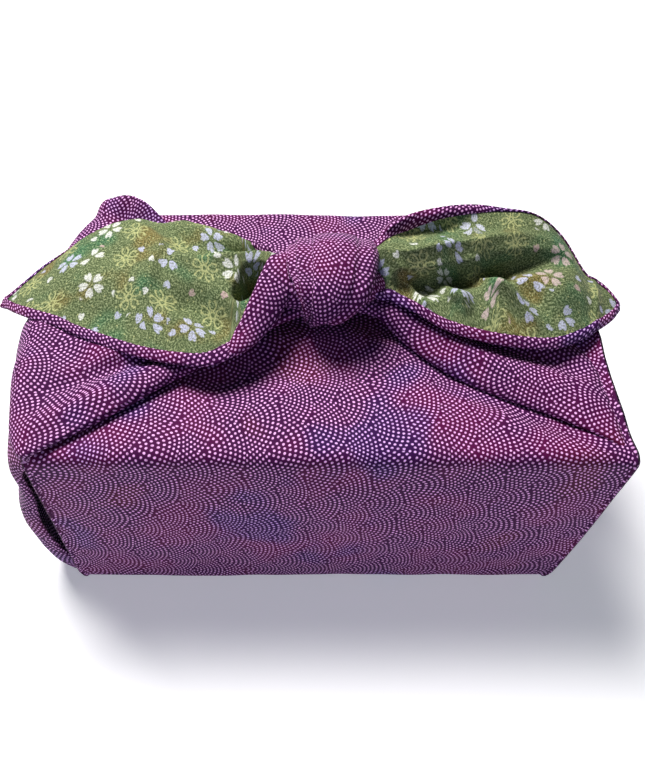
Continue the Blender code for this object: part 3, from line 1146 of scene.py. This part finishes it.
@dataclass(frozen=True)
class DotCrepe:
    """Plum crepe, printed with fine light dots that stand in overlapping fans."""

    pitch: float = 1.72
    dot_radius: float = 0.44
    column: float = 12.0
    half_row: float = 10.6
    rings: int = 9
    ring_turn: float = 0.37
    soft_edge: float = 0.13
    drift: float = 7.0
    fray: float = 0.22
    gloss_loss: float = 0.74
    relief: float = 0.00022
    sheen: float = 0.05
    plum: Colour = (0.052, 0.001, 0.054, 1.0)
    magenta: Colour = (0.105, 0.001, 0.056, 1.0)
    indigo: Colour = (0.020, 0.003, 0.080, 1.0)
    wine: Colour = (0.110, 0.005, 0.022, 1.0)
    dot: Colour = (1.00, 0.50, 0.95, 1.0)
    dot_cool: Colour = (0.74, 0.46, 0.99, 1.0)
    grain_dark: Colour = (0.012, 0.002, 0.012, 1.0)

    def fan(self, net: Net, x: Sock, y: Sock, back: int) -> tuple[Sock, Sock, Sock]:
        """The nearest fan's centre in a column of fans.

        Args:
            net: The material's net, which is not used.
            x: The place along the fans' way.
            y: The place across it.
            back: How many columns back.

        Returns:
            The place from that centre, along and across, and its distance.
        """
        index = (x / self.column).floor() - float(back)
        away_x = x - index * self.column
        odd = index.remainder(2.0)
        moved = (y - odd * self.half_row) / (2 * self.half_row)
        away_y = (moved - moved.round()) * (2 * self.half_row)
        distance = (away_x * away_x + away_y * away_y).root()
        return away_x, away_y, distance

    def material(self) -> Material:
        """Makes the finish.

        Returns:
            The material.
        """
        net = Net("plum_dot_crepe")
        place = net.cloth_place()
        x, y = net.split(place)
        x = x + (net.noise(place, 26.0, 1.0) - 0.5) * self.drift
        y = y + (net.noise(place, 31.0, 1.0) - 0.5) * self.drift
        near_x, near_y, near = self.fan(net, x, y, 0)
        far_x, far_y, far = self.fan(net, x, y, 1)
        fan_radius = (self.rings + 0.5) * self.pitch
        covered = far.under(fan_radius)
        away_x = net.choose(covered, near_x, far_x)
        away_y = net.choose(covered, near_y, far_y)
        distance = net.choose(covered, near, far)
        ring = (distance / self.pitch).round()
        from_ring = distance - ring * self.pitch
        count = (ring * tau).round().greater(1.0)
        angle = away_y.bearing(away_x)
        turn = angle * count / tau + ring * self.ring_turn
        from_dot = (turn - turn.round()) * (tau * distance / count)
        gap = (from_ring * from_ring + from_dot * from_dot).root()
        ragged = (net.noise(place, 0.7, 1.0) - 0.5) * self.fray
        snapped = (turn.round() - ring * self.ring_turn) * tau / count
        dot_x = ring * self.pitch * snapped.cosine() - near_x + far_x
        dot_y = ring * self.pitch * snapped.sine() - near_y + far_y
        dot_far = (dot_x * dot_x + dot_y * dot_y).root()
        cut = dot_far.under(fan_radius + 0.1) * (1.0 - covered)
        edge = gap + ragged + cut
        dots = edge.step(self.dot_radius + self.soft_edge, self.dot_radius - self.soft_edge)
        tint = net.noise(place, 38.0, 2.0, 0.6).step(0.42, 0.66)
        cool = net.noise(place, 55.0, 2.0, 0.6)
        warm = cool.step(0.37, 0.28)
        cold = cool.step(0.54, 0.66)
        ground = net.colour(tint, self.plum, self.magenta)
        ground = net.colour(cold * 0.6, ground, self.indigo)
        ground = net.colour(warm * 0.5, ground, self.wine)
        grain = net.noise(place, 0.35, 2.0, 0.7)
        ground = net.colour((grain - 0.35) * 0.9, ground, self.grain_dark)
        bright = net.colour(cold * 0.7, self.dot, self.dot_cool)
        worn = net.noise(place, 1.1, 2.0, 0.6).step(0.25, 0.62)
        colour = net.colour(dots * (0.42 + 0.58 * worn), ground, bright)
        crepe = net.noise(place, 0.42, 3.0, 0.65)
        height = crepe * 0.8 + dots * 0.12
        roughness = self.gloss_loss + (grain - 0.5) * 0.2
        return net.finish(colour, roughness, height, self.relief, self.sheen)


@dataclass(frozen=True)
class BlossomCrepe:
    """Moss green crepe with scattered cherry blossoms: filled ones, outlined ones and loose petals."""

    cell: float = 16.5
    petal_cell: float = 8.2
    speck_cell: float = 4.2
    reach: float = 6.2
    petal_reach: float = 4.6
    petal_middle: float = 0.60
    petal_half: float = 0.40
    notch_at: float = 0.80
    fray: float = 0.55
    heart: float = 1.2
    outlined_share: float = 0.36
    bloom_share: float = 0.88
    loose_share: float = 0.52
    speck_share: float = 0.45
    gloss_loss: float = 0.78
    relief: float = 0.00024
    sheen: float = 0.05
    moss: Colour = (0.155, 0.195, 0.085, 1.0)
    jade: Colour = (0.060, 0.180, 0.085, 1.0)
    ochre: Colour = (0.230, 0.165, 0.045, 1.0)
    white: Colour = (0.74, 0.75, 0.70, 1.0)
    lavender: Colour = (0.54, 0.56, 0.72, 1.0)
    blush: Colour = (0.56, 0.40, 0.38, 1.0)
    cream: Colour = (0.48, 0.50, 0.22, 1.0)
    grain_dark: Colour = (0.020, 0.040, 0.012, 1.0)
    grain_light: Colour = (0.46, 0.52, 0.28, 1.0)

    def petal(self, net: Net, along: Sock, aside: Sock, size: float) -> Sock:
        """How far a place lies from a petal's middle line: under 1 is inside.

        Args:
            net: The material's net, which is not used.
            along: The place along the petal, from the blossom's middle, in petal lengths.
            aside: The place across it, in petal lengths.
            size: The petal's greatest half width, in petal lengths.

        Returns:
            The measure.
        """
        run = (along - self.petal_middle) / self.petal_half
        wide = aside / (along.greater(0.05) * 0.55 + 0.42) / size
        inside = (run * run + wide * wide).root()
        notch = (along - self.notch_at) * 0.9 - aside.absolute()
        return inside + notch.step(-0.02, 0.06) * 1.5

    def cells(self, net: Net, place: Sock, size: float, scatter: float) -> tuple[Sock, ...]:
        """Spreads motifs over the cloth.

        Args:
            net: The material's net.
            place: The place on the cloth, in millimetres.
            size: The mean distance between motifs.
            scatter: How unevenly they stand, from 0 to 1.

        Returns:
            The place from the nearest motif's middle, along and across, and three chance numbers.
        """
        settings = {"voronoi_dimensions": "2D", "feature": "F1"}
        values = {"Vector": place, "Scale": 1.0 / size, "Randomness": scatter}
        distance = net.node("ShaderNodeTexVoronoi", settings, values)
        outputs = distance.socket.node.outputs
        centre = Sock(net, outputs["Position"])
        away = net.node("ShaderNodeVectorMath", {"operation": "SUBTRACT"}, {0: place, 1: centre})
        x, y = net.split(away)
        chance = net.node("ShaderNodeSeparateColor", {}, {0: Sock(net, outputs["Color"])})
        parts = chance.socket.node.outputs
        return x, y, Sock(net, parts[0]), Sock(net, parts[1]), Sock(net, parts[2])

    def material(self) -> Material:
        """Makes the finish.

        Returns:
            The material.
        """
        net = Net("green_blossom_crepe")
        place = net.cloth_place()
        tint = net.noise(place, 30.0, 2.0, 0.6)
        ground = net.colour(tint.step(0.50, 0.68), self.moss, self.jade)
        ground = net.colour(tint.step(0.46, 0.33) * 0.85, ground, self.ochre)
        grain = net.noise(place, 0.8, 2.0, 0.7)
        ground = net.colour(grain.step(0.54, 0.41) * 0.78, ground, self.grain_dark)
        ground = net.colour(grain.step(0.53, 0.66) * 0.62, ground, self.grain_light)
        x, y, spin, kind, shade = self.cells(net, place, self.cell, 0.62)
        radius = (x * x + y * y).root()
        angle = y.bearing(x) + spin * tau
        fifth = angle * (5 / tau)
        slot = (fifth - fifth.round()) * (tau / 5)
        along = radius * slot.cosine() / self.reach
        aside = radius * slot.sine() / self.reach
        fray = (net.noise(place, 0.55, 1.0) - 0.5) * self.fray
        petal = self.petal(net, along, aside, 0.38) + fray
        number = fifth.round().remainder(5.0)
        seed = net.node("ShaderNodeCombineXYZ", {}, {0: number, 1: kind * 50.0, 2: spin * 50.0})
        luck = net.node("ShaderNodeTexWhiteNoise", {"noise_dimensions": "3D"}, {"Vector": seed})
        filled = petal.step(1.05, 0.80) * luck.step(0.16, 0.18)
        line = (petal - 0.84).absolute().step(0.26, 0.08)
        heart = (radius - self.heart).absolute().step(0.45, 0.22)
        outlined = line.greater(heart)
        is_line = kind.under(self.outlined_share)
        is_there = kind.under(self.bloom_share)
        bloom = net.choose(is_line, filled, outlined) * is_there
        lp_x, lp_y, lp_spin, lp_kind, lp_shade = self.cells(net, place, self.petal_cell, 0.85)
        lp_turn = lp_spin * tau
        cosine = lp_turn.cosine()
        sine = lp_turn.sine()
        lp_along = (lp_x * cosine + lp_y * sine) / self.petal_reach + self.petal_middle
        lp_aside = (lp_y * cosine - lp_x * sine) / self.petal_reach
        loose = (self.petal(net, lp_along, lp_aside, 0.42) + fray).step(1.05, 0.80)
        free = radius.step(6.4, 7.4).greater(1.0 - is_there)
        loose = loose * lp_kind.under(self.loose_share) * free
        speck_x, speck_y, _, speck_kind, _ = self.cells(net, place, self.speck_cell, 0.9)
        speck = (speck_x * speck_x + speck_y * speck_y).root()
        speck = speck.step(0.42, 0.26) * speck_kind.under(self.speck_share)
        flower = net.colour(shade.step(0.45, 0.55), self.white, self.lavender)
        flower = net.colour(shade.step(0.20, 0.14) * 0.8, flower, self.blush)
        flower = net.colour(is_line, flower, self.cream)
        petals = net.colour(lp_shade.step(0.55, 0.65), self.white, self.lavender)
        petals = net.colour(lp_shade.step(0.20, 0.12), petals, self.blush)
        print_wear = 0.30 + 0.70 * net.noise(place, 0.7, 2.0, 0.75).step(0.38, 0.58)
        colour = net.colour(speck * 0.7, ground, self.cream)
        colour = net.colour(loose * print_wear, colour, petals)
        colour = net.colour(bloom * print_wear, colour, flower)
        crepe = net.noise(place, 0.42, 3.0, 0.65)
        roughness = self.gloss_loss + (grain - 0.5) * 0.2
        return net.finish(colour, roughness, crepe, self.relief, self.sheen)


@dataclass(frozen=True)
class FloorPaint:
    """A plain pale matt floor that is lit a little from below, like a light table."""

    pale: Colour = (0.90, 0.90, 0.90, 1.0)
    paler: Colour = (0.93, 0.93, 0.93, 1.0)
    glow_colour: Colour = (0.92, 0.95, 1.0, 1.0)
    glow: float = 0.30

    def material(self) -> Material:
        """Makes the finish.

        Returns:
            The material.
        """
        net = Net("pale_floor")
        place = net.node("ShaderNodeTexCoord", {}, {}, "Object")
        soft = net.node("ShaderNodeTexNoise", {}, {"Vector": place, "Scale": 3.0, "Detail": 2.0})
        colour = net.colour(soft, self.pale, self.paler)
        net.tree.links.new(colour.socket, net.shader.inputs["Base Color"])
        net.shader.inputs["Roughness"].default_value = 0.9
        net.shader.inputs["Emission Color"].default_value = self.glow_colour
        net.shader.inputs["Emission Strength"].default_value = self.glow
        return net.material


@dataclass
class Studio:
    """The floor, the soft lights and the camera at the photograph's view."""

    eye: Triple = (-0.0012, -0.1944, 0.2978)
    pitch_down: float = 51.12
    focal_px: float = 656.4
    frame_px: float = 645.0
    sensor: float = 36.0
    floor_half: float = 3.0
    floor_drop: float = 0.0004
    aim: Triple = (0.0, 0.0, 0.07)
    key_place: Triple = (-0.26, 0.34, 0.96)
    key_size: float = 0.38
    key_watts: float = 15.5
    key_colour: Triple = (1.0, 0.98, 0.96)
    front_place: Triple = (-0.1, -1.1, 0.5)
    front_size: float = 0.6
    front_watts: float = 1.9
    front_colour: Triple = (0.54, 0.60, 1.0)
    world_colour: Colour = (0.84, 0.89, 1.0, 1.0)
    world_strength: float = 0.09

    def build_floor(self) -> None:
        """Makes the floor."""
        shape = bmesh.new()
        bmesh.ops.create_grid(shape, x_segments=8, y_segments=8, size=self.floor_half)
        bmesh.ops.translate(shape, verts=shape.verts, vec=(0, 0, -self.floor_drop))
        mesh = bpy.data.meshes.new("floor")
        shape.to_mesh(mesh)
        shape.free()
        floor = bpy.data.objects.new("floor", mesh)
        floor.data.materials.append(FloorPaint().material())
        bpy.context.scene.collection.objects.link(floor)

    def build_light(self, name: str, place: Triple, size: float, watts: float, colour: Triple) -> None:
        """Makes one soft light that looks at the wrap.

        Args:
            name: Its name.
            place: Where it stands, in metres.
            size: Its width, in metres.
            watts: Its strength.
            colour: Its colour.
        """
        data = bpy.data.lights.new(name, "AREA")
        data.shape = "SQUARE"
        data.size = size
        data.energy = watts
        data.color = colour
        light = bpy.data.objects.new(name, data)
        light.location = place
        light.rotation_mode = "QUATERNION"
        light.rotation_quaternion = (Vector(self.aim) - light.location).to_track_quat("-Z", "Y")
        bpy.context.scene.collection.objects.link(light)

    def build(self) -> None:
        """Makes the stage."""
        self.build_floor()
        self.build_light("key", self.key_place, self.key_size, self.key_watts, self.key_colour)
        self.build_light("front", self.front_place, self.front_size, self.front_watts, self.front_colour)
        world = bpy.data.worlds.new("studio")
        world.use_nodes = True
        background = world.node_tree.nodes["Background"].inputs
        background["Color"].default_value = self.world_colour
        background["Strength"].default_value = self.world_strength
        scene = bpy.context.scene
        scene.world = world
        scene.view_settings.view_transform = "Standard"
        data = bpy.data.cameras.new("camera")
        data.sensor_fit = "HORIZONTAL"
        data.sensor_width = self.sensor
        data.lens = self.sensor * self.focal_px / self.frame_px
        camera = bpy.data.objects.new("camera", data)
        camera.location = self.eye
        camera.rotation_euler = (radians(90 - self.pitch_down), 0, 0)
        scene.collection.objects.link(camera)
        scene.camera = camera


def main() -> None:
    """Builds the wrap and its stage, and logs how many faces each piece has."""
    logging.basicConfig(level=logging.INFO, format="%(name)s: %(message)s")
    plum = DotCrepe().material()
    green = BlossomCrepe().material()
    Studio().build()
    made = [Belt().build(plum)]
    made.append(Arm("arm_left", Side.LEFT, LEFT_ARM, LEFT_ARM_FOLDS).build(plum))
    made.append(Arm("arm_right", Side.RIGHT, RIGHT_ARM, RIGHT_ARM_FOLDS, flat=(0.140, 0.180)).build(plum))
    left_flats = {"back_flat": (0.135, 0.085), "lining_flat": (0.115, 0.065)}
    left = Wing("wing_left", Side.LEFT, LEFT_WING, LEFT_WING_FOLDS, **left_flats)
    right = Wing("wing_right", Side.RIGHT, RIGHT_WING, RIGHT_WING_FOLDS)
    made += [left.build_back(plum), right.build_back(plum)]
    made += [left.build_lining(green, "lining_left"), right.build_lining(green, "lining_right")]
    made.append(Band("knot_band", KNOT_BAND, (1, 0, 0), BAND_PLEATS).build(plum))
    made.append(Band("knot_core", KNOT_CORE, (0, 1, 0), flat=(0.055, 0.055)).build(plum))
    made.append(Band("turned_edge", TURNED_EDGE, (1, 0.5, 0), EDGE_PLEATS, flat=(0.058, 0.027)).build(plum))
    for piece in made:
        LOG.info("%s: %d faces", piece.name, len(piece.data.polygons))


if __name__ == "__main__":
    main()
